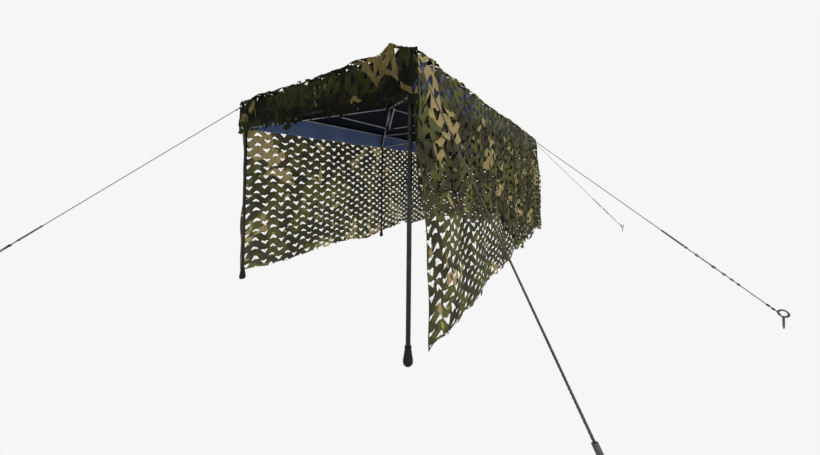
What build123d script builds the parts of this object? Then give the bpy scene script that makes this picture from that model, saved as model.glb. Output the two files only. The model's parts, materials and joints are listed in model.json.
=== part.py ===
from build123d import *
import math
import os

# Six-leg netted field blind with two square-hipped roof bays. Millimetres, +Z up.
# Origin: centre of the frame's plan on the ground. +X right, +Y from the open front to the rear.

# ---- driving dimensions -------------------------------------------------
WIDTH = 2440.0                    # leg centre to leg centre across the front
BAY = 2590.0                      # leg centre to leg centre along one of the two bays
HALF_WIDTH = WIDTH / 2
FIT, LOOSE_FIT = 0.05, 0.1        # radial clearances

RAIL_Z = 2080.0                   # eave rail centre height
RAIL_R, RAIL_BORE = 12.0, 10.2
BRACKET_HALF = 23.0               # half the bracket's plan size
POST_R, POST_BORE = 15.0, 13.4    # upper post, fixed to the roof frame
POST_BOTTOM, POST_TOP = 1050.0, RAIL_Z - 2
LEG_R, LEG_BORE = 17.0, 15.1      # leg tube, slides on the post
LEG_BOTTOM, LEG_TOP = 60.0, 1795.0

LEGS = {
    "front_right": (HALF_WIDTH, -BAY), "front_left": (-HALF_WIDTH, -BAY),
    "mid_right": (HALF_WIDTH, 0.0), "mid_left": (-HALF_WIDTH, 0.0),
    "rear_right": (HALF_WIDTH, BAY), "rear_left": (-HALF_WIDTH, BAY),
}
BAYS = {"front": -BAY / 2, "rear": BAY / 2}    # mast y in each bay

UP = Vector(0, 0, 1)
LOW = (Align.CENTER, Align.CENTER, Align.MIN)

os.makedirs("parts", exist_ok=True)


# ---- shared helpers -----------------------------------------------------
def save(shape, name):
    export_step(shape, f"parts/{name}.step")


def save_group(shapes, name):
    save(Compound(children=list(shapes)), name)


def axis_plane(start, end):
    """Plane at start whose normal points to end."""
    start, end = Vector(start), Vector(end)
    normal = (end - start).normalized()
    x_dir = UP.cross(normal)
    if x_dir.length < 1e-6:
        x_dir = Vector(1, 0, 0)
    return Plane(origin=start, x_dir=x_dir, z_dir=normal)


def distance(start, end):
    return (Vector(end) - Vector(start)).length


def bar(start, end, radius):
    return axis_plane(start, end) * Cylinder(radius, distance(start, end), align=LOW)


def tube(start, end, radius, bore):
    span = distance(start, end)
    body = Cylinder(radius, span, align=LOW) - Cylinder(bore, span, align=LOW)
    return axis_plane(start, end) * body


def upright_tube(x, y, bottom, top, radius, bore):
    return tube((x, y, bottom), (x, y, top), radius, bore)


def turned(profile):
    """Solid turned about Z from (radius, height) points."""
    return revolve(Plane.XZ * make_face(Polyline(*profile, close=True)), Axis.Z)


def sheet(points, direction, thickness):
    face = Face(Wire.make_polygon([Vector(p) for p in points], close=True))
    return extrude(face, amount=thickness, dir=direction)


# ---- legs, posts, collars, feet -----------------------------------------
FOOT_H, FOOT_R = 125.0, 35.0
FOOT_PROFILE = [    # (radius, height): socket wall, rim, flared outside, base, stepped floor
    (LEG_R + FIT, LEG_BOTTOM), (LEG_R + FIT, FOOT_H),
    (23, FOOT_H), (23.6, FOOT_H - 3), (23.6, FOOT_H - 9), (22.2, FOOT_H - 12),
    (26.5, 82), (31.5, 52), (34.4, 34), (FOOT_R, 26), (34.2, 17), (31.0, 9), (25.5, 3.2),
    (18, 0), (0, 0), (0, 52), (15, 52), (15, LEG_BOTTOM),
]
COLLAR_H, COLLAR_R = 33.0, 21.0
FLUTES, FLUTE_R, FLUTE_MARGIN = 14, 1.7, 7
BAND_H, BAND_DEPTH, BAND_MARGIN = 2, 1.2, 3.0    # groove round each end of the collar
LEG_GAP, COLLAR_GAP = 0.2, 0.3                  # below and above the leg tube


def twist_collar():
    collar = Cylinder(COLLAR_R, COLLAR_H, align=LOW)
    collar -= Cylinder(POST_R + LOOSE_FIT, COLLAR_H, align=LOW)
    flute = Cylinder(FLUTE_R, COLLAR_H - 2 * FLUTE_MARGIN, align=LOW)
    for i in range(FLUTES):
        angle = 2 * math.pi * i / FLUTES
        x, y = COLLAR_R * math.cos(angle), COLLAR_R * math.sin(angle)
        collar -= Pos(x, y, FLUTE_MARGIN) * flute
    band = Cylinder(COLLAR_R + 1, BAND_H, align=LOW)
    band -= Cylinder(COLLAR_R - BAND_DEPTH, BAND_H, align=LOW)
    for z in (BAND_MARGIN, COLLAR_H - BAND_MARGIN - BAND_H):
        collar -= Pos(0, 0, z) * band
    return collar


foot = turned(FOOT_PROFILE)
collar = twist_collar()
for name, (x, y) in LEGS.items():
    save(upright_tube(x, y, LEG_BOTTOM + LEG_GAP, LEG_TOP, LEG_R, LEG_BORE), f"leg_{name}")
    save(Pos(x, y, 0) * foot, f"foot_{name}")
    save(Pos(x, y, LEG_TOP + COLLAR_GAP) * collar, f"twist_collar_{name}")
save_group([upright_tube(x, y, POST_BOTTOM, POST_TOP, POST_R, POST_BORE)
            for x, y in LEGS.values()], "upper_posts")

# ---- eave rails and brackets --------------------------------------------
BRACKET_H, BRACKET_FILLET = 50, 6
STUB_REACH = 55           # bracket stub's length inside a rail
SOCKET_BOTTOM, SOCKET_H = RAIL_Z - 26, 24.5


def rail(start, end):
    return tube((*start, RAIL_Z), (*end, RAIL_Z), RAIL_R, RAIL_BORE)


def bracket(x, y):
    """Block on a post top, with a stub into each rail that meets it."""
    size = 2 * BRACKET_HALF
    block = Box(size, size, BRACKET_H)
    body = Pos(x, y, RAIL_Z) * fillet(block.edges().filter_by(Axis.Z), BRACKET_FILLET)
    directions = [(-1 if x > 0 else 1, 0)]
    if y == 0:
        directions += [(0, 1), (0, -1)]
    else:
        directions += [(0, 1 if y < 0 else -1)]
    for dx, dy in directions:
        start, end = [(x + dx * reach, y + dy * reach, RAIL_Z)
                      for reach in (BRACKET_HALF - 1, BRACKET_HALF + STUB_REACH)]
        body += bar(start, end, RAIL_BORE - LOOSE_FIT)
    body -= Pos(x, y, SOCKET_BOTTOM) * Cylinder(POST_R + FIT, SOCKET_H, align=LOW)
    return body


for name, y in (("front", -BAY), ("rear", BAY), ("cross", 0)):
    end_x = HALF_WIDTH - BRACKET_HALF
    save(rail((-end_x, y), (end_x, y)), f"{name}_rail")
for side, x in (("left", -HALF_WIDTH), ("right", HALF_WIDTH)):
    save(rail((x, -BAY + BRACKET_HALF), (x, -BRACKET_HALF)), f"{side}_rail_front")
    save(rail((x, BRACKET_HALF), (x, BAY - BRACKET_HALF)), f"{side}_rail_rear")
save_group([bracket(x, y) for x, y in LEGS.values() if y != 0], "corner_brackets")
save_group([bracket(x, y) for x, y in LEGS.values() if y == 0], "mid_brackets")

# ---- roof ribs, hubs and masts ------------------------------------------
RING_Z, RING_R, RING_H = 1846.0, 23, 22    # ring round the post at the rib's foot
RING_PIN = 44                              # ring centre to its pins
HUB_TOP_Z, HUB_LOW_Z = 2190.0, 1920.0
HUB_R, HUB_H, HUB_PIN = 27, 26, 47
MAST_R, MAST_WALL, MAST_OVERRUN = 14.0, 1.6, 20
RIB_R, LINK_R, BAR_WALL, BAR_OVERRUN = 9.5, 8.0, 1.4, 9
BLOCK_RUN = 650.0                          # rib block's horizontal distance from the mast
BLOCK_R, BLOCK_HALF = 15.0, 24
BLOCK_EAR_HALF, BLOCK_EAR_H = 12, 32
BLOCK_EAR_DROP, BLOCK_PIN_DROP = 24, 6     # rib to ear centre, ear centre to pin
EAR_T, EAR_GAP, EAR_H, EAR_FILLET = 4.0, 20.0, 22.0, 5
PIN_R = 3.0
NUT_R, NUT_H, NUT_GAP = 5.6, 4, 2.2
CAP_PROFILE = [    # (radius, height) above the mast's end
    (0, 0.3), (13, 0.3), (26, 0.3), (26, 3), (20, 8), (10, 11), (0, 12),
]


def heading(x, y, z, angle):
    """Location whose X axis points along angle (degrees) in plan."""
    return Location((x, y, z), (0, 0, angle))


def fork(place, start, reach, pin, height=EAR_H, drop=0.0):
    """Two drilled ears along the X axis of place, from start to reach."""
    hole = Pos(pin, 0, -drop) * Rot(90, 0, 0) * Cylinder(PIN_R + FIT, 60)
    ears = []
    for side in (-1, 1):
        ear = Box(reach - start, EAR_T, height)
        ear = fillet(ear.edges().filter_by(Axis.Y), EAR_FILLET)
        centre = Pos((start + reach) / 2, side * (EAR_GAP + EAR_T) / 2, 0)
        ears.append(place * (centre * ear - hole))
    return ears


class Arm:
    """One rib from a leg's ring to a bay's upper hub, and the pins of the rib and its link."""

    def __init__(self, bay, leg):
        self.bay, self.leg = bay, leg
        x, y = LEGS[leg]
        mast_y = BAYS[bay]
        run = math.hypot(x, y - mast_y)
        self.angle = math.degrees(math.atan2(y - mast_y, x))
        fraction = (run - RING_PIN - BLOCK_RUN) / (run - RING_PIN - HUB_PIN)
        block_z = RING_Z + fraction * (HUB_TOP_Z - RING_Z)
        self.ring = heading(x, y, RING_Z, self.angle + 180)
        self.block_ears = heading(0, mast_y, block_z - BLOCK_EAR_DROP, self.angle)
        self.block_centre = (heading(0, mast_y, block_z, self.angle)
                             * Pos(BLOCK_RUN, 0, 0)).position
        self.ring_pin = self.ring * Pos(RING_PIN, 0, 0)
        self.upper_pin = heading(0, mast_y, HUB_TOP_Z, self.angle) * Pos(HUB_PIN, 0, 0)
        self.lower_pin = heading(0, mast_y, HUB_LOW_Z, self.angle) * Pos(HUB_PIN, 0, 0)
        self.block_pin = self.block_ears * Pos(BLOCK_RUN, 0, -BLOCK_PIN_DROP)


def eyed_bar(outer_pin, inner_pin, radius):
    """Tube with a cross hole at each end, on the two pins."""
    start, end = outer_pin.position, inner_pin.position
    along = (end - start).normalized()
    across = along.cross(UP).normalized()
    body = bar(start - along * BAR_OVERRUN, end + along * BAR_OVERRUN, radius)
    body -= bar(start - along * 12, end + along * 12, radius - BAR_WALL)
    for centre in (start, end):
        body -= bar(centre - across * 20, centre + across * 20, PIN_R + LOOSE_FIT)
    return body


def cross_bolt(pin):
    half = EAR_GAP / 2 + EAR_T
    bolt = Cylinder(PIN_R, 2 * half + 8)
    for z in (half + NUT_GAP, -half - NUT_GAP - NUT_H):
        bolt += Pos(0, 0, z) * extrude(RegularPolygon(NUT_R, 6), amount=NUT_H)
    return pin * Rot(90, 0, 0) * bolt


def rib_block(arm):
    """Sleeve on the rib, with an ear pair hanging below it for the link."""
    start, end = arm.ring_pin.position, arm.upper_pin.position
    half_span = (end - start).normalized() * BLOCK_HALF
    block = bar(arm.block_centre - half_span, arm.block_centre + half_span, BLOCK_R)
    for ear in fork(arm.block_ears, BLOCK_RUN - BLOCK_EAR_HALF, BLOCK_RUN + BLOCK_EAR_HALF,
                    BLOCK_RUN, BLOCK_EAR_H, BLOCK_PIN_DROP):
        block += ear
    return block - bar(start, end, RIB_R + FIT)


def hub(bay, z):
    y = BAYS[bay]
    body = Pos(0, y, z) * (Cylinder(HUB_R, HUB_H) - Cylinder(MAST_R + FIT, HUB_H))
    for arm in arms:
        if arm.bay == bay:
            for ear in fork(heading(0, y, z, arm.angle), 22, 56, HUB_PIN):
                body += ear
    return body


def rib_ring(leg):
    x, y = LEGS[leg]
    body = Pos(x, y, RING_Z) * Cylinder(RING_R, RING_H)
    for arm in arms:
        if arm.leg == leg:
            for ear in fork(arm.ring, 20, 52, RING_PIN):
                body += ear
    return body - Pos(x, y, RING_Z) * Cylinder(POST_R + FIT, 40)


def mast_cap():
    plug = Cylinder(MAST_R - MAST_WALL - LOOSE_FIT, 16, align=LOW)
    return turned(CAP_PROFILE) + Pos(0, 0, -14) * plug


# Each bay has an arm to its own four legs.
arms = [Arm(bay, leg) for bay in BAYS for leg in LEGS
        if abs(LEGS[leg][1] - BAYS[bay]) < BAY * 0.75]
MAST_BOTTOM, MAST_TOP = HUB_LOW_Z - MAST_OVERRUN, HUB_TOP_Z + MAST_OVERRUN
for bay, y in BAYS.items():
    bay_arms = [arm for arm in arms if arm.bay == bay]
    save_group([eyed_bar(a.ring_pin, a.upper_pin, RIB_R) for a in bay_arms], f"ribs_{bay}_bay")
    save_group([eyed_bar(a.block_pin, a.lower_pin, LINK_R) for a in bay_arms],
               f"links_{bay}_bay")
    save(upright_tube(0, y, MAST_BOTTOM, MAST_TOP, MAST_R, MAST_R - MAST_WALL), f"mast_{bay}")
save_group([hub(bay, HUB_TOP_Z) for bay in BAYS], "upper_hubs")
save_group([hub(bay, HUB_LOW_Z) for bay in BAYS], "lower_hubs")
save_group([rib_ring(leg) for leg in LEGS], "rib_rings")
save_group([rib_block(arm) for arm in arms], "rib_blocks")
save_group([cross_bolt(pin) for a in arms
            for pin in (a.ring_pin, a.upper_pin, a.lower_pin, a.block_pin)], "rib_bolts")
cap = mast_cap()
save_group([Pos(0, y, MAST_TOP) * cap for y in BAYS.values()], "mast_caps")

# ---- guys ---------------------------------------------------------------
PEGS = {
    "front_right": (2580.0, -3500.0), "front_left": (-3050.0, -4550.0),
    "mid_right": (3630.0, -430.0), "mid_left": (-3630.0, -430.0),
    "rear_right": (3000.0, 3590.0), "rear_left": (-3050.0, 4550.0),
}
# Turnbuckle start, as a fraction of the guy's length.
BUCKLE_AT, BUCKLE_AT_FRONT_RIGHT = 0.80, 0.86
BUCKLE_LEN, BUCKLE_END_R, BUCKLE_END_H = 160.0, 12, 24
SIDE_BAR_R, SIDE_BAR_X, SIDE_BAR_INSET = 4.5, 14, 4
ROD_R, ROD_IN_BUCKLE = 5.0, 62
ROD_EYE_R, ROD_EYE_WIRE = 12, 4
ROPE_R = 3.5
SLEEVE_R = 8.5
BRACKET_EYE_R, BRACKET_EYE_WIRE = 12, 3.5
PEG_R, PEG_POINT_H = 7.0, 24
PEG_EYE_Z, PEG_EYE_R, PEG_EYE_WIRE = 130.0, 27, 6.5
CUT_R = 22                # radius cleared round each guy through cloth and nets


class Guy:
    """Line of one guy, from the eye on a bracket down to its peg."""

    def __init__(self, name):
        x, y = LEGS[name]
        self.peg_x, self.peg_y = PEGS[name]
        side_x = 1 if x > 0 else -1
        side_y = 1 if y > 0 else (-1 if y < 0 else 0)
        reach = BRACKET_HALF - (8 if side_y else 2)
        self.base = Vector(x + side_x * reach, y + side_y * reach, RAIL_Z)
        self.outward = Vector(self.peg_x - x, self.peg_y - y, 0).normalized()
        self.eye_normal = UP.cross(self.outward)
        self.eye = self.base + self.outward * 46
        self.peg_eye = Vector(self.peg_x, self.peg_y, PEG_EYE_Z)
        self.top = self.eye + self.outward * BRACKET_EYE_R
        self.bottom = self.peg_eye - self.outward * PEG_EYE_R
        self.total = (self.bottom - self.top).length
        self.along = (self.bottom - self.top).normalized()
        self.across = UP.cross(self.along).normalized()
        fraction = BUCKLE_AT_FRONT_RIGHT if name == "front_right" else BUCKLE_AT
        self.buckle = round(self.total * fraction)
        self.buckle_plane = Plane(origin=self.point(self.buckle), x_dir=self.across,
                                  z_dir=self.along)

    def point(self, run):
        return self.top + self.along * run

    def loop(self, centre, radius):
        plane = Plane(origin=centre, x_dir=self.along, z_dir=self.along.cross(self.across))
        return plane * Torus(radius, ROPE_R)

    def upright_eye(self, centre, radius, wire):
        plane = Plane(origin=centre, x_dir=self.outward, z_dir=self.eye_normal)
        return plane * Torus(radius, wire)


def guy_eye(guy):
    eye = guy.upright_eye(guy.eye, BRACKET_EYE_R, BRACKET_EYE_WIRE)
    return eye + bar(guy.base - guy.outward * 3, guy.base + guy.outward * 35, 4)


def guy_rope(guy):
    rope = bar(guy.point(8.5), guy.point(guy.buckle - 78), ROPE_R) + guy.loop(guy.top, 9.0)
    return rope - bar(guy.point(guy.buckle - 90), guy.point(guy.buckle), 6.5)


def guy_sleeve(guy):
    return tube(guy.point(guy.buckle - 310), guy.point(guy.buckle - 100), SLEEVE_R, ROPE_R + 0.3)


def guy_tail(guy):
    start = guy.point(guy.buckle + BUCKLE_LEN + 77.5)
    return bar(start, guy.point(guy.total - 16.2), ROPE_R) + guy.loop(guy.bottom, 15.0)


def turnbuckle(guy):
    """Two end collars joined by two side bars, bored for the rods."""
    end = Cylinder(BUCKLE_END_R, BUCKLE_END_H, align=LOW)
    body = end + Pos(0, 0, BUCKLE_LEN - BUCKLE_END_H) * end
    for side in (-1, 1):
        body += Pos(side * SIDE_BAR_X, 0, SIDE_BAR_INSET) * Cylinder(
            SIDE_BAR_R, BUCKLE_LEN - 2 * SIDE_BAR_INSET, align=LOW)
        for z in (12, BUCKLE_LEN - 12):
            body += Pos(side * 8, 0, z) * Box(16, 2 * SIDE_BAR_R, 16)
    body -= Cylinder(ROD_R + 0.08, BUCKLE_LEN, align=LOW)
    return guy.buckle_plane * body


def eye_rod(guy, start, end, eye_z):
    """Rod along the turnbuckle's axis with a cross-axis eye."""
    turn = Pos(0, 0, eye_z) * Rot(90, 0, 0)
    rod = bar((0, 0, start), (0, 0, end), ROD_R) + turn * Torus(ROD_EYE_R, ROD_EYE_WIRE)
    rod -= turn * Cylinder(7.5, 20)
    return guy.buckle_plane * rod


def eye_rods(guy):
    far = BUCKLE_LEN
    return [eye_rod(guy, -62, ROD_IN_BUCKLE, -72),
            eye_rod(guy, far - ROD_IN_BUCKLE, far + 50, far + 60)]


def ground_peg(guy):
    shank = Cylinder(PEG_R, PEG_EYE_Z - PEG_EYE_R - 20, align=LOW)
    peg = Pos(guy.peg_x, guy.peg_y, 0) * (
        Cone(2.5, PEG_R, PEG_POINT_H, align=LOW) + Pos(0, 0, PEG_POINT_H) * shank)
    return peg + guy.upright_eye(guy.peg_eye, PEG_EYE_R, PEG_EYE_WIRE)


def clearance(guy):
    passage = bar(guy.base - guy.outward * 20, guy.base + guy.outward * 90, CUT_R)
    return passage + bar(guy.top, guy.point(260), CUT_R)


guys = {name: Guy(name) for name in LEGS}
for name, guy in guys.items():
    save(turnbuckle(guy), f"turnbuckle_{name}")
for name, build in (("guy_ropes", guy_rope), ("guy_sleeves", guy_sleeve),
                    ("guy_tails", guy_tail), ("ground_pegs", ground_peg),
                    ("guy_eyes", guy_eye)):
    save_group([build(guy) for guy in guys.values()], name)
save_group([rod for guy in guys.values() for rod in eye_rods(guy)], "turnbuckle_rods")
cutters = [clearance(guy) for guy in guys.values()]


def pierced(shape):
    for cutter in cutters:
        shape = shape - cutter
    return shape


# ---- fabric canopy: two shallow pyramids with a hanging valance ---------
CLOTH_T = 1.5
CANOPY_X, CANOPY_Y = HALF_WIDTH + 32, BAY + 32
VALANCE_Z, VALANCE_TOP = 1830.0, 2113


def two_pyramids(half_x, half_y, eave, peak, thickness):
    roof = None
    for side in (-1, 1):
        y = side * half_y
        apex = (0, side * BAY / 2, peak)
        corners = [(-half_x, 0, eave), (half_x, 0, eave), (half_x, y, eave), (-half_x, y, eave)]
        for i in range(4):
            panel = sheet([corners[i], corners[(i + 1) % 4], apex], (0, 0, 1), thickness)
            roof = panel if roof is None else roof + panel
    return roof


def canopy():
    cover = two_pyramids(CANOPY_X, CANOPY_Y, 2110, 2226, CLOTH_T)
    height, z = VALANCE_TOP - VALANCE_Z, (VALANCE_TOP + VALANCE_Z) / 2
    for side in (-1, 1):
        x, y = side * (CANOPY_X - CLOTH_T / 2), side * (CANOPY_Y - CLOTH_T / 2)
        cover += Pos(x, 0, z) * Box(CLOTH_T, 2 * CANOPY_Y, height)
        cover += Pos(0, y, z) * Box(2 * CANOPY_X, CLOTH_T, height)
    return pierced(cover)


save(canopy(), "canopy_cover")

# ---- camouflage nets ----------------------------------------------------
NET_T = 2.0
SIDE_X = HALF_WIDTH + 46
END_Y = BAY + 40
REAR_X, FRONT_X = HALF_WIDTH + 36, HALF_WIDTH + 46


def overhang_point(y, z):
    """Point on the right overhang, which slopes outward as it falls."""
    return (HALF_WIDTH + 74 + (2145 - z) * 52 / 2115, y, z)


NETS = {    # name: (direction of thickness, outline)
    "net_right_side": ((1, 0, 0), [
        (SIDE_X + 6, -BAY - 20, 2140), (SIDE_X + 55, -BAY + 180, 40),
        (SIDE_X + 55, BAY + 10, 40), (SIDE_X + 6, BAY + 10, 2140)]),
    "net_right_overhang": ((1, 0, 0), [
        overhang_point(-BAY - 40, 2145), overhang_point(-BAY - 40, 960),
        overhang_point(0, 560), overhang_point(BAY + 20, 120), overhang_point(BAY + 20, 2145)]),
    "net_left_side": ((-1, 0, 0), [
        (-SIDE_X - 6, -BAY - 30, 2140), (-SIDE_X - 14, -BAY - 30, 90),
        (-SIDE_X - 14, BAY + 10, 90), (-SIDE_X - 6, BAY + 10, 2140)]),
    "net_rear": ((0, 1, 0), [
        (-REAR_X, END_Y, 2140), (-REAR_X, END_Y + 12, 90),
        (REAR_X, END_Y + 12, 90), (REAR_X, END_Y, 2140)]),
    "net_front_valance": ((0, -1, 0), [
        (-FRONT_X, -END_Y, 2142), (-FRONT_X, -END_Y - 8, 1790),
        (FRONT_X, -END_Y - 8, 1790), (FRONT_X, -END_Y, 2142)]),
}
save(two_pyramids(HALF_WIDTH + 84, BAY + 62, 2150, 2256, NET_T), "net_roof")
for name, (direction, outline) in NETS.items():
    save(pierced(sheet(outline, direction, NET_T)), name)
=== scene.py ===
# A rectangular blind on six legs: a blue cover with two low peaks, leaf-cut camouflage nets
# over the roof and round the sides, and six pegged guy ropes.
# Metres, centred on the origin, floor at z = 0. Right is +X, front is -Y, up is +Z.
import bpy
import json
import math
import numpy as np
from mathutils import Matrix, Vector


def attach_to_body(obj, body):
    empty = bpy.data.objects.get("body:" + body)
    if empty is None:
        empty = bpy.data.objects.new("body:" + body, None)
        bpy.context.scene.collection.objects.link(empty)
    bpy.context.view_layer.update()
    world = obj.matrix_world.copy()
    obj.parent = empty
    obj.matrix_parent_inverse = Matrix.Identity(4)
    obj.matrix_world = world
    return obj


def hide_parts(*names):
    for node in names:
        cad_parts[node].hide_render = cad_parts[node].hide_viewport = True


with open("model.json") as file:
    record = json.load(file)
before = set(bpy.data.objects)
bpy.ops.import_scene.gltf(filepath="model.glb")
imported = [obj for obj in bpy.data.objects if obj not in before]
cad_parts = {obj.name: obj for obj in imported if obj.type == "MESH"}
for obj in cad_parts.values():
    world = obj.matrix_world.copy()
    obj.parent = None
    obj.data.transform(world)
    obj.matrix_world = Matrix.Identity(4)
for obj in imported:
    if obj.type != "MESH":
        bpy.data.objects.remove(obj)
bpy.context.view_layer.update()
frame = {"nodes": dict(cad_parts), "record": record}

HALF_WIDTH = 1.22                      # leg centres, from the middle line
BAY = 2.59                             # spacing of the three rows of legs
COVER_X, COVER_Y = 1.2505, 2.6205      # half width and half length of the blue cover
ROOF_NET_LEFT, ROOF_NET_RIGHT = 1.252, 1.292   # reach of the roof net either side of x = 0
ROOF_NET_WIDTH = ROOF_NET_LEFT + ROOF_NET_RIGHT
FRONT_NET_Y = -2.645
RIGHT_TOP, LEFT_TOP, REAR_TOP = 2.135, 2.130, 2.145   # heights the side nets are measured from


# ---------------------------------------------------------------- material tools
def linear(hex_color):
    """sRGB hex string to linear RGBA."""
    digits = hex_color.lstrip("#")
    rgb = []
    for i in (0, 2, 4):
        value = int(digits[i:i + 2], 16) / 255
        rgb.append(value / 12.92 if value <= 0.04045 else ((value + 0.055) / 1.055) ** 2.4)
    return (*rgb, 1.0)


def grey(value):
    return (value, value, value, 1)


def feed(tree, value, socket):
    """Link an output socket, or store a plain value."""
    if hasattr(value, "is_linked"):
        tree.links.new(value, socket)
    else:
        socket.default_value = value


def mix_to_output(tree, output_type, factor, first, second):
    mixer = tree.nodes.new("ShaderNodeMixShader")
    for value, socket in zip((factor, first, second), mixer.inputs):
        feed(tree, value, socket)
    output = next(node for node in tree.nodes if node.type == output_type)
    tree.links.new(mixer.outputs[0], output.inputs["Surface"])


class Material:
    """A Principled material and short ways to add nodes to it."""

    def __init__(self, name, roughness, metallic=0.0, specular=None):
        self.material = bpy.data.materials.new(name)
        self.material.use_nodes = True
        self.tree = self.material.node_tree
        self.bsdf = self.tree.nodes["Principled BSDF"]
        self.set("Roughness", roughness)
        self.set("Metallic", metallic)
        if specular is not None:
            self.set("Specular IOR Level", specular)

    def set(self, name, value):
        feed(self.tree, value, self.bsdf.inputs[name])

    def node(self, kind, **settings):
        """Add a node; each setting is an input if the node has one so named, else a property."""
        node = self.tree.nodes.new(kind)
        for key, value in settings.items():
            if key in node.inputs:
                feed(self.tree, value, node.inputs[key])
            else:
                setattr(node, key, value)
        return node

    def coords(self, kind="Object"):
        return self.node("ShaderNodeTexCoord").outputs[kind]

    def separate(self, vector):
        return self.node("ShaderNodeSeparateXYZ", Vector=vector).outputs

    def noise(self, vector, scale, detail=3.0, roughness=0.55, distortion=0.0):
        return self.node("ShaderNodeTexNoise", Vector=vector, Scale=scale, Detail=detail,
                         Roughness=roughness, Distortion=distortion).outputs["Fac"]

    def ramp(self, factor, stops, mode="LINEAR"):
        ramp = self.node("ShaderNodeValToRGB", Fac=factor)
        ramp.color_ramp.interpolation = mode
        elements = ramp.color_ramp.elements
        while len(elements) < len(stops):
            elements.new(0.5)
        for element, (position, color) in zip(elements, stops):
            element.position = position
            element.color = color
        return ramp.outputs["Color"]

    def mix(self, factor, first, second, mode="MIX"):
        node = self.node("ShaderNodeMix", data_type="RGBA", blend_type=mode)
        for value, index in ((factor, 0), (first, 6), (second, 7)):
            feed(self.tree, value, node.inputs[index])
        return node.outputs[2]

    def math(self, operation, first, second):
        node = self.node("ShaderNodeMath", operation=operation)
        feed(self.tree, first, node.inputs[0])
        feed(self.tree, second, node.inputs[1])
        return node.outputs[0]

    def bump(self, height, strength, distance):
        node = self.node("ShaderNodeBump", Strength=strength, Distance=distance, Height=height)
        self.set("Normal", node.outputs["Normal"])


# ---------------------------------------------------------------- hard parts
def metal_paint(name, dark, light, roughness, metallic, low=None):
    """Mottled metal; low is a tint that fades in towards the bottom."""
    mat = Material(name, roughness, metallic)
    place = mat.coords()
    color = mat.ramp(mat.noise(place, scale=9.0, detail=4),
                     [(0.3, linear(dark)), (0.75, linear(light))])
    if low:
        fade = mat.ramp(mat.separate(place)["Z"], [(0.10, grey(1)), (0.9, grey(0))])
        color = mat.mix(fade, color, linear(low))
    mat.set("Base Color", color)
    smears = mat.noise(place, scale=40.0, detail=5, roughness=0.7)
    mat.set("Roughness", mat.ramp(smears, [(0.3, grey(roughness - .1)),
                                           (0.7, grey(roughness + .14))]))
    mat.bump(mat.noise(place, scale=260.0), strength=0.12, distance=0.0004)
    return mat.material


def moulded(name, dark, light, roughness, grain=420.0, strength=0.25, specular=0.25):
    """Grained plastic or rubber."""
    mat = Material(name, roughness, specular=specular)
    place = mat.coords()
    mat.set("Base Color", mat.ramp(mat.noise(place, scale=22.0, detail=4),
                                   [(0.3, linear(dark)), (0.75, linear(light))]))
    mat.bump(mat.noise(place, scale=grain, detail=2), strength=strength, distance=0.0005)
    return mat.material


slot_material = {
    "leg_tube": metal_paint("leg_paint", "#1f1f20", "#393939", roughness=0.30, metallic=0.7,
                            low="#201713"),
    "frame_tube": metal_paint("frame_paint", "#7d7f80", "#a0a1a0", roughness=0.42, metallic=0.55),
    "zinc_steel": metal_paint("zinc", "#3c3d3e", "#636364", roughness=0.36, metallic=0.8),
    "peg_steel": metal_paint("peg_steel", "#47484a", "#777879", roughness=0.45, metallic=0.8),
    "bracket_plastic": moulded("bracket_nylon", "#141415", "#222223", roughness=0.5),
    "collar_plastic": moulded("collar_nylon", "#38383a", "#5c5c5d", roughness=0.42),
    "foot_rubber": moulded("foot_rubber", "#101110", "#1c1e1d", roughness=0.55, grain=300,
                           strength=0.4, specular=0.12),
    "sleeve_rubber": moulded("sleeve_rubber", "#3a3a3b", "#5b5b5c", roughness=0.6),
}
slot_material["rope"] = slot_material["sleeve_rubber"]
slot_material["canopy_fabric"] = slot_material["bracket_plastic"]
slot_material["net_fabric"] = slot_material["bracket_plastic"]

node_slot = {part["node"]: part["material_slot"] for part in frame["record"]["subparts"]}
for node_name, obj in frame["nodes"].items():
    obj.data.materials.clear()
    obj.data.materials.append(slot_material[node_slot[node_name]])


# ---------------------------------------------------------------- cloth and rope materials
def rope_material():
    mat = Material("rope_cord", roughness=0.75)
    place = mat.coords()
    mat.set("Base Color", mat.ramp(mat.noise(place, scale=60.0),
                                   [(0.3, linear("#2c2722")), (0.7, linear("#4f4941"))]))
    mat.bump(mat.noise(place, scale=1400.0, detail=2), strength=0.4, distance=0.0006)
    return mat.material


def blue_material(name, dark, light, specular, sheen, front=None, right=None):
    """Woven cover cloth; front paints shade onto the front valance, right paints light onto the
    right valance.
    """
    mat = Material(name, roughness=0.7, specular=specular)
    mat.set("Sheen Weight", sheen)
    place = mat.coords()
    color = mat.ramp(mat.noise(place, scale=1.7, detail=4, roughness=0.6),
                     [(0.32, linear(dark)), (0.72, linear(light))])
    # painted light and shade: the right valance gets its own colour for the light it gets behind
    # the net, the front valance a dark colour for its shade
    if front:
        axes = mat.separate(place)
        color = mat.mix(mat.math("GREATER_THAN", axes["X"], 1.24), color, linear(right))
        color = mat.mix(mat.math("LESS_THAN", axes["Y"], -2.60), color, linear(front))
    mat.set("Base Color", color)
    threads = [mat.node("ShaderNodeTexWave", Scale=330.0, wave_type="BANDS",
                        bands_direction=direction, Vector=place).outputs["Fac"]
               for direction in ("Z", "DIAGONAL")]
    creases = mat.math("MULTIPLY", mat.noise(place, scale=18.0, detail=4), 3.0)
    height = mat.math("ADD", mat.math("ADD", *threads), creases)
    mat.bump(height, strength=0.25, distance=0.0009)
    return mat.material


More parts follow.
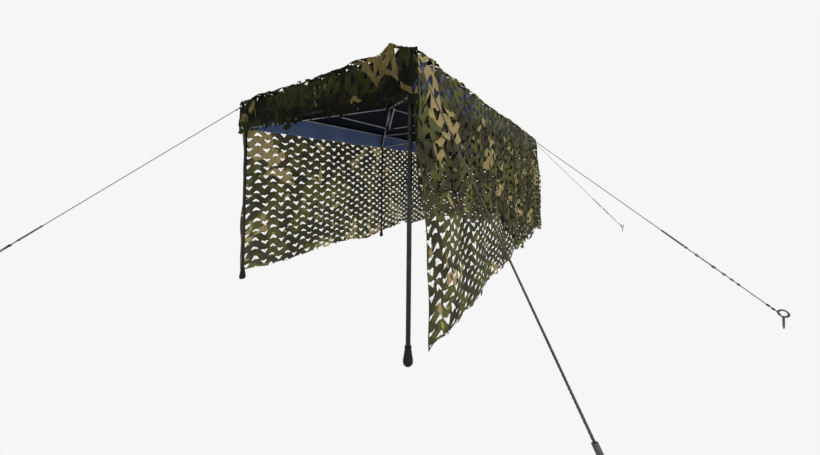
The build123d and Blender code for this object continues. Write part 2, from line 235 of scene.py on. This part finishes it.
def net_material(name, dark, middle, green, tan, shift, through, tan_from, spots, specular=0.2):
    """Camouflage print in UV metres, partly translucent.

    tan_from: noise level where tan starts; spots: extra tan at (along, down, radius).
    """
    mat = Material(name, roughness=0.85, specular=specular)
    uv = mat.coords("UV")
    place = mat.node("ShaderNodeMapping", Location=shift, Vector=uv).outputs["Vector"]
    base = mat.ramp(mat.noise(place, scale=3.1, detail=2.5, roughness=0.5, distortion=0.35),
                    [(0.0, linear(dark)), (0.44, linear(middle)), (0.53, linear(green))],
                    "CONSTANT")
    patch = mat.noise(place, scale=2.5, detail=3.0, roughness=0.5, distortion=1.3)
    for along, down, radius in spots:
        distance = mat.node("ShaderNodeVectorMath", operation="DISTANCE")
        feed(mat.tree, uv, distance.inputs[0])
        distance.inputs[1].default_value = (along, down, 0)
        share = mat.math("DIVIDE", distance.outputs["Value"], radius)
        near = mat.math("MAXIMUM", mat.math("SUBTRACT", 1.0, share), 0.0)
        patch = mat.math("ADD", patch, mat.math("MULTIPLY", near, 0.21))
    mask = mat.ramp(patch, [(0.0, grey(0)), (tan_from, grey(1))], "CONSTANT")
    color = mat.mix(mask, base, linear(tan))
    # broad fading, then fine mottling
    for scale, detail, roughness, low in ((0.9, 5, 0.6, 0.72), (55.0, 3, 0.7, 0.82)):
        shade = mat.ramp(mat.noise(place, scale, detail, roughness),
                         [(0.3, grey(low)), (0.7, grey(1.12))])
        color = mat.mix(1.0, color, shade, "MULTIPLY")
    mat.set("Base Color", color)
    creases = mat.math("MULTIPLY", mat.noise(place, scale=26.0, detail=4), 2.0)
    height = mat.math("ADD", mat.noise(place, scale=900.0, detail=2), creases)
    mat.bump(height, strength=0.35, distance=0.0012)
    glow = mat.node("ShaderNodeBsdfTranslucent", Color=color)
    mix_to_output(mat.tree, "OUTPUT_MATERIAL", through, mat.bsdf.outputs[0], glow.outputs[0])
    return mat.material


ROPE = rope_material()
# the front colour is painted shade on the front valance; the right colour is painted light on the
# right valance
BLUE = blue_material("canopy_blue", "#485b88", "#6477a0", specular=0.3, sheen=0.1,
                     front="#10172a", right="#46546f")
# near-black copy of the cover blue: painted shade for the shaded underside of the roof
BLUE_PAINTED_SHADE = blue_material("canopy_blue_painted_shade", "#070a12", "#0c111d", specular=0.04, sheen=0.0)
NET = net_material(
    "net_camo", "#333120", "#3e3c25", "#51522b", "#948559", shift=(0.3, 1.7, 0),
    through=0.22, tan_from=0.612,
    spots=[(-2.35, 2.68, .42), (-2.25, 3.15, .42), (-1.0, 3.1, .25), (.4, 3.5, .35)])
# a lighter copy of the camo colours: painted light on the left net
NET_LEFT_PAINTED_LIGHT = net_material(
    "net_camo_left_painted_light", "#63604a", "#706c50", "#8a8856", "#d4c591", shift=(5.3, 2.2, 0),
    through=0.42, tan_from=0.60,
    spots=[(-2.3, .42, .4), (-2.1, .85, .3), (0.0, .35, .3), (1.7, .6, .35), (.5, 1.6, .25)])
# a darker copy of the camo colours: painted shade on the front valance net
NET_FRONT_PAINTED_SHADE = net_material(
    "net_camo_front_painted_shade", "#17170f", "#201f14", "#2e3119", "#6b5e3a", shift=(3.1, 0.4, 0),
    through=0.08, tan_from=0.66, spots=[(-1.05, .2, .3), (1.0, .05, .25)], specular=0.03)
NET_CORD = moulded("net_cord", "#15160f", "#24251a", roughness=0.8)


# ---------------------------------------------------------------- mesh tools
def add_object(name, data):
    obj = bpy.data.objects.new(name, data)
    bpy.context.scene.collection.objects.link(obj)
    return obj


def mesh_object(name, points, faces, material, uvs=None, smooth_shaded=False):
    mesh = bpy.data.meshes.new(name)
    mesh.from_pydata([tuple(point) for point in points], [], [tuple(face) for face in faces])
    if uvs is not None:
        layer = mesh.uv_layers.new(name="UVMap")
        corners = np.zeros(len(mesh.loops), np.int32)
        mesh.loops.foreach_get("vertex_index", corners)
        layer.data.foreach_set("uv", np.asarray(uvs, np.float32)[corners].ravel())
    mesh.materials.append(material)
    if smooth_shaded:
        mesh.polygons.foreach_set("use_smooth", [True] * len(mesh.polygons))
    mesh.update()
    return add_object(name, mesh)


def thicken(obj, thickness):
    solidify = obj.modifiers.new("thick", "SOLIDIFY")
    solidify.thickness = thickness
    solidify.offset = 0


def attach(obj):
    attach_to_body(obj, "frame")


def smooth(t):
    """Smooth step from 0 to 1."""
    t = np.clip(t, 0, 1)
    return t * t * (3 - 2 * t)


def waves(x, y, phase):
    """Smooth repeatable wave field, about -1 to 1."""
    return (np.sin(2.1 * x + 1.3 * y + phase) + np.sin(-1.7 * x + 3.1 * y + 2.3 * phase + 1)
            + np.sin(4.3 * x + 0.7 * y - phase)
            + 0.6 * np.sin(6.1 * y - 3.3 * x + 1.7 * phase)) / 3.2


def normals(surface, along, down, points, step=0.004):
    """Unit normals of a surface at points already evaluated."""
    normal = np.cross(surface(along, down + step) - points, surface(along + step, down) - points)
    return normal / (np.linalg.norm(normal, axis=1)[:, None] + 1e-12)


# ---------------------------------------------------------------- leaf-cut net
# Outlines of the two cuts and of their cell: (across, up) as shares of the cell
HEART = np.array([
    (-.20, -.09), (-.10, -.18), (0, -.25), (.10, -.18), (.20, -.09), (.31, .03),
    (.42, .12), (.41, .18), (.32, .20), (.16, .17), (0, .11), (-.16, .17),
    (-.32, .20), (-.41, .18), (-.42, .12), (-.31, .03)])
ARCH = np.array([
    (-.40, -.17), (-.21, -.14), (0, -.09), (.21, -.14), (.40, -.17), (.42, -.11),
    (.35, -.02), (.27, .07), (.18, .15), (.09, .21), (0, .24), (-.09, .21),
    (-.18, .15), (-.27, .07), (-.35, -.02), (-.42, -.11)])
CELL = np.array([
    (-.5, -.5), (-.25, -.5), (0, -.5), (.25, -.5), (.5, -.5), (.5, -.25), (.5, 0), (.5, .25),
    (.5, .5), (.25, .5), (0, .5), (-.25, .5), (-.5, .5), (-.5, .25), (-.5, 0), (-.5, -.25)])
RING = 16                              # points in each outline
CORD_STARTS = ((-.5, .03), (.03, -.5))   # (along, down) as shares of the cell
CORD_ENDS = ((.5, -.02), (-.02, .5))
CORD_RADIUS = 0.0011


def leaf_net(name, surface, along_range, down_range, hem, material, seed, curl, size,
             cell=(0.111, 0.125), opening=1.0, pull=1.0, cord_offset=-0.006):
    """Sheet over surface(along, down): columns of heart and arched cuts, half a row apart.

    hem(along) is where the sheet ends; curl lifts the flaps; size and opening scale the cuts;
    pull distorts the lattice; cord_offset sets the backing cords off the sheet.
    """
    rng = np.random.default_rng(seed)
    (start, end), (top, bottom) = along_range, down_range
    columns = int(round((end - start) / cell[0]))
    rows = int(round((bottom - top) / cell[1]))
    width, height = (end - start) / columns, (bottom - top) / rows
    column, row = np.meshgrid(np.arange(columns), np.arange(-1, rows + 1), indexing="ij")
    column, row = column.ravel(), row.ravel()
    odd = column % 2
    along = start + (column + .5) * width
    down = top + (row + .5 + .5 * odd) * height
    kept = (down > top - 0.3 * height) & (down < bottom + 0.3 * height)
    kept &= down < hem(along) + 0.22 * height
    along, down, odd = along[kept], down[kept], odd[kept]
    count = len(along)

    # every cut is scaled, shifted and roughened at random
    cut = np.where(odd[:, None, None] == 1, ARCH, HEART)
    scale_x = rng.uniform(.84, 1.0, (count, 1, 1)) * size
    scale_y = rng.uniform(.80, 1.16, (count, 1, 1)) * size * opening
    cut = (cut * np.concatenate([scale_x, scale_y], 2) + rng.normal(0, .035, (count, 1, 2))
           + rng.normal(0, .012, (count, RING, 2)))
    cut = np.clip(cut, -.475, .475)
    rim = np.repeat(CELL[None], count, 0)
    rings = np.stack([rim, rim * .45 + cut * .55, cut], 1)
    # flaps curl out of the sheet, a few of them the other way
    amount = rng.uniform(.3, 1.25, (count, 1))
    side = np.where(rng.uniform(size=(count, 1)) < .82, 1.0, -1.0)
    tilt = np.clip(cut[:, :, 1] * 3.2, -1, 1) * amount * side * curl
    lift = (tilt[:, None, :] * np.array([0, .45, 1.0])[None, :, None]).ravel()
    lattice = np.stack([along[:, None, None] + rings[..., 0] * width,
                        down[:, None, None] - rings[..., 1] * height], -1).reshape(-1, 2)

    # the lattice is pulled about, so that rows and columns aren't ruled
    x, y = lattice.T
    sheet = lattice.copy()
    sheet[:, 0] += pull * (0.30 * width * np.sin(y * 5.1 + seed) * np.cos(x * 3.3)
                           + .12 * width * np.sin(x * 14 + y * 11))
    sheet[:, 1] += pull * (0.34 * height * np.sin(x * 2.9 + seed * 1.7) * np.cos(y * 2.1 + 1)
                           + .14 * height * np.sin(x * 9 - y * 13))
    # cells that cross the top line or the hem are gathered into it
    sheet[:, 1] = np.maximum(sheet[:, 1], top)
    sheet[:, 1] = np.minimum(sheet[:, 1], hem(sheet[:, 0]))
    points = surface(sheet[:, 0], sheet[:, 1])
    points = points + normals(surface, sheet[:, 0], sheet[:, 1], points) * lift[:, None]
    points[:, 2] = np.maximum(points[:, 2], 0.004)   # stays off the floor

    base = (np.arange(count) * 3 * RING)[:, None]
    here = np.arange(RING)
    after = (here + 1) % RING
    faces = np.concatenate([
        np.stack([base + k + here, base + k + after, base + k + RING + after,
                  base + k + RING + here], -1).reshape(-1, 4) for k in (0, RING)])
    # neighbouring cells share their rim points
    key = np.round(lattice * 4000).astype(np.int64)
    remap = np.arange(len(sheet))
    rim_index = remap.reshape(count, 3 * RING)[:, :RING].ravel()
    _, first, inverse = np.unique(key[rim_index], axis=0, return_index=True, return_inverse=True)
    remap[rim_index] = rim_index[first][inverse.ravel()]
    faces = remap[faces]
    quads = points[faces]
    area = 0.5 * np.linalg.norm(np.cross(quads[:, 2] - quads[:, 0], quads[:, 3] - quads[:, 1]),
                                axis=1)
    used, faces = np.unique(faces[area > 4e-7], return_inverse=True)
    net = mesh_object(name, points[used], faces.reshape(-1, 4), material, sheet[used])
    thicken(net, 0.0011)
    attach(net)

    inside = (down > top + .1 * height) & (down < hem(along) - .3 * height)
    centres = np.stack([along[inside], down[inside]], -1)
    net_cords(name + "_cords", surface, centres, np.array([width, height]), cord_offset)
    return net


def net_cords(name, surface, centres, cell, offset):
    """Three-sided backing cords, one crossing pair behind each cut."""
    def place(shifts):
        spots = np.concatenate([centres + np.array(shift) * cell for shift in shifts])
        points = surface(spots[:, 0], spots[:, 1])
        normal = normals(surface, spots[:, 0], spots[:, 1], points)
        return points + normal * offset, normal

    starts, normal = place(CORD_STARTS)
    ends, _ = place(CORD_ENDS)
    direction = ends - starts
    direction /= np.linalg.norm(direction, axis=1)[:, None] + 1e-12
    side = np.cross(direction, normal)
    angles = [2 * math.pi * k / 3 for k in range(3)]
    ring = np.stack([(side * math.cos(angle) + normal * math.sin(angle)) * CORD_RADIUS
                     for angle in angles], 1)
    points = np.concatenate([starts[:, None] + ring, ends[:, None] + ring], 1).reshape(-1, 3)
    base = (np.arange(len(starts)) * 6)[:, None]
    sides = [base + np.array([[k, (k + 1) % 3, 3 + (k + 1) % 3, 3 + k]]) for k in range(3)]
    caps = [base + np.array([cap]) for cap in ((2, 1, 0), (3, 4, 5))]
    faces = np.concatenate(sides).tolist() + np.concatenate(caps).tolist()
    attach(mesh_object(name, points, faces, NET_CORD))


# ---------------------------------------------------------------- roof net
def peak(x, y, half_width, half_length):
    """Two pyramids side by side along Y: 0 at the edges, 1 at an apex mid-bay."""
    past_apex = np.abs(y) - BAY / 2
    reach = np.where(past_apex > 0, half_length - BAY / 2, BAY / 2)
    return 1 - np.clip(np.maximum(np.abs(x) / half_width, np.abs(past_apex) / reach), 0, 1)


def roof_z(x, y):
    """Height of the roof net."""
    z = 2.116 + 0.118 * peak(x, y, 1.262, 2.632) + 0.026
    z = z + 0.012 * (1 + waves(x * 2.2, y * 1.9, 1.0)) + 0.006 * waves(x * 7, y * 6, 2.0)
    # a gathered fold and a lower one beside it, behind the front right corner
    z = z + 0.060 * np.exp(-((x - 1.08) / .075) ** 2) * smooth((-1.7 - y) / .8)
    z = z + 0.018 * np.exp(-((x - .8) / .14) ** 2) * smooth((-1.9 - y) / .6)
    # soft shoulders at the long eaves
    z = z - 0.030 * smooth((np.abs(x) - 1.20) / .11)
    # both long sides lift towards the rear
    return z + 0.030 * smooth((y + .6) / .7) * smooth((np.abs(x) - .7) / .5)


def roof_surface(y, run):
    """run goes from the left eave over the roof, then down the right side."""
    x = np.minimum(-ROOF_NET_LEFT + run, ROOF_NET_RIGHT)
    x = x - 0.034 * smooth((y + 2.6) / .3) * (1 - smooth(run / .15))
    drop = np.maximum(run - ROOF_NET_WIDTH, 0)
    folds = 0.013 * np.sin(y * 9.0 + 1.2 * np.sin(y * 2.3)) + 0.009 * np.sin(y * 21 + 1.0)
    loose = smooth(drop / .5)
    flare = 0.075 * smooth((y - 1.9) / .8) * smooth(drop / .9)
    z = roof_z(x, y) - drop
    x = x + drop * 0.026 + folds * loose * (1 + drop * .3) + flare + 0.012 * smooth(drop / .1)
    y = (y + 0.012 * waves(y * 2, run * 3, 4) * loose
         + 0.04 * smooth((y - 2.2) / .4) * smooth(drop / 1.))
    return np.stack([x, y, z], -1)


# Lower edge of the overhang down the right side: y, then height
OVERHANG_Y = [-2.7, -1.95, -1.44, -.8, -.45, -.1, .3, 1.2, 2.0, 2.8]
OVERHANG_Z = [1.16, 1.16, 1.04, .82, .66, .40, .12, .05, .10, .06]


def roof_hem(y):
    edge = np.interp(y, OVERHANG_Y, OVERHANG_Z) + 0.03 * np.sin(y * 7.1) + .02 * np.sin(y * 17.0)
    return ROOF_NET_WIDTH + roof_z(ROOF_NET_RIGHT, y) - edge


roof_net = leaf_net("net_roof_leaf", roof_surface, (FRONT_NET_Y, 2.70),
                    (0.0, ROOF_NET_WIDTH + 2.12), roof_hem, NET, seed=11, curl=0.012,
                    size=1.10, opening=1.45)
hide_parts("net_roof", "net_right_overhang")


# ---------------------------------------------------------------- right, left and rear nets
def right_surface(y, drop):
    bottom = smooth(drop / 2.1)
    x = 1.268 + drop * 0.024
    x = x + 0.009 * np.sin(y * 8 + .6) * smooth(drop / .6) * (1 + .6 * bottom)
    x = x + 0.05 * smooth((y - 1.9) / .8) * smooth(drop / .9)
    z = RIGHT_TOP - drop + 0.02 * waves(y * 1.5, drop, 2) * bottom
    y = y + 0.20 * bottom * smooth((-1.2 - y) / 1.4)   # foot of the front edge swings back
    return np.stack([x, y, z], -1)


def right_hem(y):
    return RIGHT_TOP - (0.030 + 0.030 * (1 + np.sin(y * 5.3 + 1)) * .5 + .012 * np.sin(y * 19)
                        + .07 * smooth((y + .1) / .3) * (1 + np.sin(y * 9)) * .5)


# the right net starts at the hem of the blue valance
right_net = leaf_net("net_right_leaf", right_surface, (-2.63, 2.66), (0.27, 2.13), right_hem,
                     NET, seed=23, curl=0.013, size=1.04, cell=(0.100, 0.106), opening=1.15)
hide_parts("net_right_side")


def left_surface(y, drop):
    loose = smooth(drop / .5)
    x = -(1.272 + 0.010 * drop + 0.008 * (1 + np.sin(y * 6 + .4)) * loose
          + .004 * np.sin(y * 17) * loose)
    lift = 0.10 * np.exp(-((y - .85) / .22) ** 2) + 0.02 * (1 + np.sin(y * 4.1))
    z = LEFT_TOP - drop + lift * smooth((drop - 1.5) / .6) + 0.01 * waves(y * 2, drop * 2, 1)
    # the top of the front edge is pulled round the canopy's corner
    corner = 0.050 * smooth((-2.3 - y) / .28) * (1 - smooth((drop - .26) / .12))
    y = y + 0.040 * smooth((y - 2.3) / .3) * loose - corner
    return np.stack([x, y, z], -1)


def left_hem(y):
    return LEFT_TOP - (0.035 + 0.012 * (1 + np.sin(y * 6.3)) + .006 * np.sin(y * 23))


# on the left, rear and front the outward side is the far one, so curl and cords change sign
left_net = leaf_net("net_left_leaf", left_surface, (-2.585, 2.65), (0.0, 2.08), left_hem,
                    NET_LEFT_PAINTED_LIGHT, seed=31, curl=-0.012, size=.97, opening=.88, pull=.6,
                    cord_offset=0.005)
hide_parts("net_left_side")


def rear_surface(x, drop):
    loose = smooth(drop / .5)
    y = 2.640 + 0.012 * drop + 0.010 * (1 + np.sin(x * 7 + 1)) * loose
    z = REAR_TOP - drop + .012 * waves(x * 2, drop, 3) * loose
    x = x + smooth((x - 1.0) / .3) * (.024 * drop + .05 * smooth(drop / .9))
    return np.stack([x, y, z], -1)


def rear_hem(x):
    return REAR_TOP - (0.05 + .02 * (1 + np.sin(x * 6)) + .006 * np.sin(x * 23))


rear_net = leaf_net("net_rear_leaf", rear_surface, (-1.305, 1.31), (0.0, 2.08), rear_hem,
                    NET, seed=41, curl=-0.012, size=1.0, cord_offset=0.005)
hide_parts("net_rear")


# ---------------------------------------------------------------- front net valance
def front_surface(x, drop):
    loose = smooth(drop / .15)
    y = (FRONT_NET_Y - 0.008 * loose - .008 * (1 + np.sin(x * 13 + 1.5 * np.sin(x * 3))) * loose
         - 0.006 * np.sin(x * 31) * loose)
    return np.stack([x, y, roof_z(x, FRONT_NET_Y) - drop], -1)


def saw(t):
    return np.abs((t % 1.0) - .5) * 2


def front_hem(x):
    """Jagged edge, with one hanging point left of the middle."""
    edge = (1.752 + .022 * saw(x * 7.3 + .3 * np.sin(x * 5)) + .016 * saw(x * 17.1 + .4)
            + .008 * np.sin(x * 9) - 0.085 * np.maximum(0, 1 - np.abs(x + .18) / .09)
            - .02 * smooth((-1.0 - x) / .15))
    return roof_z(x, FRONT_NET_Y) - edge


front_net = leaf_net("net_front_leaf", front_surface, (-ROOF_NET_LEFT, 1.312), (0.0, 0.50),
                     front_hem, NET_FRONT_PAINTED_SHADE, seed=53, curl=-0.020, size=.97,
                     cell=(0.062, 0.150), opening=1.25, cord_offset=0.005)
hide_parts("net_front_valance")


# ---------------------------------------------------------------- blue cover
def cloth(name, surface, first, second, material):
    """Smooth sheet over surface, sampled at every pair from the two lists."""
    grid_first, grid_second = (g.ravel() for g in np.meshgrid(first, second, indexing="ij"))
    rows = len(second)
    i, j = np.meshgrid(np.arange(len(first) - 1), np.arange(rows - 1), indexing="ij")
    corner = (i * rows + j).ravel()
    faces = np.stack([corner, corner + 1, corner + rows + 1, corner + rows], -1)
    obj = mesh_object(name, surface(grid_first, grid_second), faces, material,
                      np.stack([grid_first, grid_second], -1), smooth_shaded=True)
    thicken(obj, 0.0016)
    attach(obj)
    return obj


def cover_surface(x, y):
    rise = peak(x, y, 1.252, 2.622)
    # the cloth sags between the ribs and puckers all over
    sag = 0.009 * np.sin(np.pi * np.clip(rise, 0, 1)) * (0.6 + .4 * np.sin(x * 11) * np.sin(y * 9))
    z = 2.1115 + 0.116 * rise - np.maximum(sag, 0) * .6 + .001 * np.sin(x * 31 + y * 17)
    return np.stack([x, y, z], -1)


cover = cloth("canopy_roof_cloth", cover_surface, np.linspace(-COVER_X, COVER_X, 97),
              np.r_[np.linspace(-COVER_Y, 0, 97), np.linspace(0, COVER_Y, 97)[1:]], BLUE_PAINTED_SHADE)
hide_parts("canopy_cover")

# Corners of the eave by distance along it, counter-clockwise from the front left
EAVE_WIDTH, EAVE_LENGTH = 2 * COVER_X, 2 * COVER_Y
CORNERS = np.array([0, EAVE_WIDTH, EAVE_WIDTH + EAVE_LENGTH, 2 * EAVE_WIDTH + EAVE_LENGTH,
                    2 * (EAVE_WIDTH + EAVE_LENGTH)])
VALANCE_HEM = .262                     # depth of the raised hem line


def valance_surface(along, drop):
    side = np.searchsorted(CORNERS[1:4], along, side="right")   # front, right, rear, left
    run = along - CORNERS[side]
    x = np.choose(side, [run - COVER_X, COVER_X, COVER_X - run, -COVER_X])
    y = np.choose(side, [-COVER_Y, run - COVER_Y, COVER_Y, COVER_Y - run])
    out_x = np.choose(side, [0.0, 1.0, 0.0, -1.0])
    out_y = np.choose(side, [-1.0, 0.0, 1.0, 0.0])
    # ripples die away at the corners and at the eave
    to_corner = np.min(np.abs(along[:, None] - CORNERS[None]), 1)
    ripple = smooth(drop / .2) * smooth(to_corner / .15) * (
        0.0045 * np.sin(along * 10 + np.sin(along * 3)) + .002 * np.sin(along * 27))
    out = ripple + 0.0016 * (np.abs(drop - VALANCE_HEM) < .002)
    z = 2.1125 - drop + .003 * np.sin(along * 6) * smooth(drop / .25)
    return np.stack([x + out_x * out, y + out_y * out, z], -1)


valance_along = [np.linspace(CORNERS[i], CORNERS[i + 1], samples)[:-1]
                 for i, samples in enumerate((90, 180, 90))]
# the last side stops just short of the starting corner
valance_along.append(np.linspace(CORNERS[3], CORNERS[4] - 1e-4, 180))
cloth("canopy_valance_cloth", valance_surface, np.concatenate(valance_along),
      np.r_[np.linspace(0, .25, 12), .258, VALANCE_HEM, .266, .282], BLUE)


# ---------------------------------------------------------------- ropes
def merge(parts):
    """Join (points, faces) pairs into one."""
    points, faces, offset = [], [], 0
    for part_points, part_faces in parts:
        points.append(part_points)
        faces += [tuple(i + offset for i in face) for face in part_faces]
        offset += len(part_points)
    return np.concatenate(points), faces


def tube(path, radius, sides):
    """Closed-ended tube along a path."""
    direction = np.gradient(path, axis=0)
    direction /= np.linalg.norm(direction, axis=1)[:, None]
    side = np.cross(direction, np.array([0.13, 0.29, 0.95]))
    side /= np.linalg.norm(side, axis=1)[:, None]
    other = np.cross(direction, side)
    angle = np.linspace(0, 2 * math.pi, sides, endpoint=False)[None, :, None]
    points = path[:, None] + radius * (side[:, None] * np.cos(angle)
                                       + other[:, None] * np.sin(angle))
    count = len(path)
    faces = []
    for k in range(count - 1):
        for i in range(sides):
            j = (i + 1) % sides
            faces.append((k * sides + i, k * sides + j, (k + 1) * sides + j, (k + 1) * sides + i))
    faces.append(tuple(range(sides - 1, -1, -1)))
    faces.append(tuple(range((count - 1) * sides, count * sides)))
    return points.reshape(-1, 3), faces


def circle(angle, first, second):
    return np.cos(angle)[:, None] * first + np.sin(angle)[:, None] * second


def across(direction):
    """Two unit vectors square to a rope's direction."""
    side = np.cross(direction, [0, 0, 1.0])
    side /= np.linalg.norm(side)
    return side, np.cross(direction, side)


def laid_rope(start, end, radius=0.0025, lay=0.0020, pitch=0.028, step=0.0045):
    """Three twisted strands."""
    length = np.linalg.norm(end - start)
    t = np.linspace(0, 1, max(6, int(length / step)))
    side, other = across((end - start) / length)
    parts = []
    for k in range(3):
        phase = 2 * math.pi * (t * length / pitch + k / 3)
        path = start + (end - start) * t[:, None] + lay * circle(phase, side, other)
        parts.append(tube(path, radius, 5))
    return merge(parts)


def eye(centre, first, second, radius, thickness):
    """Ring of rope in the plane of two unit vectors."""
    angle = np.linspace(0, 2 * math.pi, 34)
    return tube(centre + radius * circle(angle, first, second), thickness, 7)


def knot(centre, direction, radius=0.0068, thickness=0.0025, pitch=0.0058):
    """Three snug wraps round the rope."""
    angle = np.linspace(0, 2 * math.pi * 3.2, 60)
    path = (centre + (angle / (2 * math.pi) * pitch)[:, None] * direction
            + radius * circle(angle, *across(direction)))
    return tube(path, thickness, 6)


# Leg side (X sign, Y sign), peg x, peg y, share of the rope's length above its gap
GUYS = [
    (1, -1, 2.58, -3.5, .86),
    (-1, -1, -3.05, -4.55, .80),
    (1, 0, 3.63, -.43, .80),
    (-1, 0, -3.63, -.43, .80),
    (1, 1, 3.0, 3.59, .80),
    (-1, 1, -3.05, 4.55, .80),
]
GAP = .16                              # length left open between upper and lower rope

upper, lower = [], []
for sign_x, sign_y, peg_x, peg_y, share in GUYS:
    x, y = sign_x * HALF_WIDTH, sign_y * BAY
    level = np.array([peg_x - x, peg_y - y, 0.0])
    level /= np.linalg.norm(level)
    outset = .015 if sign_y else .021
    top = np.array([x + sign_x * outset, y + sign_y * outset, 2.08]) + level * .058
    bottom = np.array([peg_x, peg_y, .130]) - level * .027
    length = np.linalg.norm(bottom - top)
    down = (bottom - top) / length
    side = np.cross([0, 0, 1.0], down)
    side /= np.linalg.norm(side)
    upright = np.cross(down, side)
    gap_top = round(length * 1000 * share) / 1000
    gap_end = gap_top + GAP

    upper.append(laid_rope(top + down * .0085, top + down * (gap_top - .083)))
    upper.append(eye(top, down, side, .009, .0034))
    upper.append(eye(top + down * (gap_top - .084), down, upright, .009, .0032))
    for distance in (.03, gap_top - .125):
        upper.append(knot(top + down * distance, down))

    lower.append(laid_rope(top + down * (gap_end + .078), top + down * (length - .0155)))
    lower.append(eye(bottom, down, side, .015, .0034))
    lower.append(eye(top + down * (gap_end + .072), down, upright, .009, .0032))
    for distance in (gap_end + .12, gap_end + .17, length - .075, length - .04):
        lower.append(knot(top + down * distance, down))

for name, parts, replaced in (("guy_rope_strands", upper, "guy_ropes"),
                              ("guy_tail_strands", lower, "guy_tails")):
    rope = mesh_object(name, *merge(parts), ROPE, smooth_shaded=True)
    attach(rope)
    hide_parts(replaced)

# ---------------------------------------------------------------- floor and world
BACKDROP = (0.9216, 0.9216, 0.9216, 1)
FLOOR = 60                             # half size

white = Material("floor_white", roughness=0.95, specular=0.0)
white.set("Base Color", (0.80, 0.80, 0.80, 1))
flat = white.node("ShaderNodeEmission", Color=BACKDROP, Strength=1.0)
mix_to_output(white.tree, "OUTPUT_MATERIAL", 1.0, white.bsdf.outputs[0], flat.outputs[0])
floor = mesh_object("floor", [(-FLOOR, -FLOOR, 0), (FLOOR, -FLOOR, 0), (FLOOR, FLOOR, 0),
                              (-FLOOR, FLOOR, 0)], [(0, 1, 2, 3)], white.material)

# a cool fill lights the scene; the camera sees the plain backdrop
world = bpy.data.worlds.new("studio")
bpy.context.scene.world = world
world.use_nodes = True
world_nodes = world.node_tree.nodes
fill = world_nodes["Background"]
fill.inputs["Color"].default_value = (0.93, 0.96, 1.0, 1)
fill.inputs["Strength"].default_value = 0.62
light_path = world_nodes.new("ShaderNodeLightPath")
backdrop = world_nodes.new("ShaderNodeBackground")
backdrop.inputs["Color"].default_value = BACKDROP
mix_to_output(world.node_tree, "OUTPUT_WORLD", light_path.outputs["Is Camera Ray"],
              fill.outputs[0], backdrop.outputs[0])

# ---------------------------------------------------------------- sun and camera
# warm, soft-edged sun from the right
sun = bpy.data.lights.new("key", "SUN")
sun.energy = 2.6
sun.angle = math.radians(12)
sun.color = (1, 0.97, 0.92)
key = add_object("key", sun)
key.rotation_mode = "QUATERNION"
key.rotation_quaternion = Vector((-0.80, 0.10, -0.62)).to_track_quat("-Z", "Y")

# wide lens, off the front right corner; yaw turns left from +Y
position = Vector((2.194, -4.034, 1.294))
yaw, pitch, roll = math.radians(33.95), math.radians(1.30), math.radians(0.55)
forward = Vector((-math.sin(yaw) * math.cos(pitch), math.cos(yaw) * math.cos(pitch),
                  math.sin(pitch)))
level_right = Vector((math.cos(yaw), math.sin(yaw), 0))
level_up = level_right.cross(forward)
right = math.cos(roll) * level_right + math.sin(roll) * level_up
up = -math.sin(roll) * level_right + math.cos(roll) * level_up
lens = bpy.data.cameras.new("cam")
lens.sensor_width = 36
lens.lens = 11.09853659
lens.shift_y = -0.07256097561
lens.clip_start = 0.02
lens.clip_end = 300
camera = add_object("cam", lens)
camera.matrix_world = Matrix((*zip(right, up, -forward, position), (0, 0, 0, 1)))
bpy.context.scene.camera = camera
bpy.context.scene.view_settings.view_transform = "Standard"
